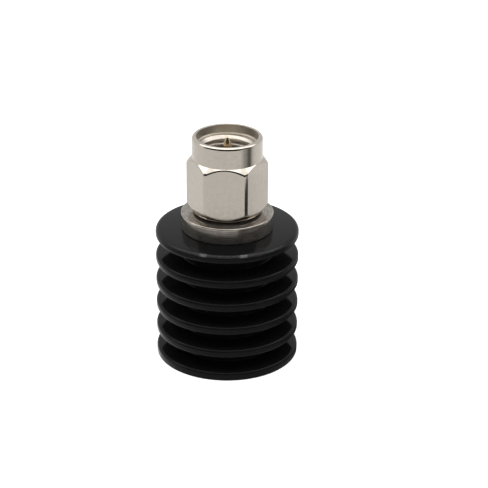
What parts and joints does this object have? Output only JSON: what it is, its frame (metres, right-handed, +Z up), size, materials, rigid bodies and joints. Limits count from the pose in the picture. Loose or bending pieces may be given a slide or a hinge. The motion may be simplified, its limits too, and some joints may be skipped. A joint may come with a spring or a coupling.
{
  "type": "coaxial terminator",
  "caption": "Threaded coaxial plug with a free-turning hexagon coupling nut, on a black heatsink of round disc fins that holds the load resistor.",
  "frame": {"origin": "middle of the heatsink's base, which the part stands on", "axes": "+Z up the common axis of heatsink and plug, towards the plug's mouth; -Y is the side that the picture shows"},
  "size_m": [0.016, 0.016, 0.0261],
  "materials": {
    "black_anodised": "glossy black anodised, turned",
    "body_nickel": "bright nickel plate",
    "nut_nickel": "satin-bright nickel plate",
    "spring_bronze": "plain",
    "silicone": "matt",
    "ptfe": "turned",
    "gold": "gold plate",
    "resistive_film": "film on ceramic",
    "tinned": "tinned",
    "plain_brass": "turned"
  },
  "bodies": {
    "housing": {"heatsink": "black_anodised", "connector_body": "body_nickel", "retaining_ring": "spring_bronze", "front_bead": "ptfe", "centre_pin": "gold", "load_rod": "resistive_film", "rod_front_cap": "tinned", "rod_rear_cap": "tinned", "taper_sleeve": "plain_brass", "end_plug": "plain_brass"},
    "nut": {"coupling_nut": "nut_nickel", "nut_gasket": "silicone"}
  },
  "joints": [
    {"name": "nut_spin", "type": "hinge", "parent": "housing", "child": "nut", "pos_m": [0, 0, 0.02177], "axis": [0, 0, 1], "continuous": true}
  ]
}
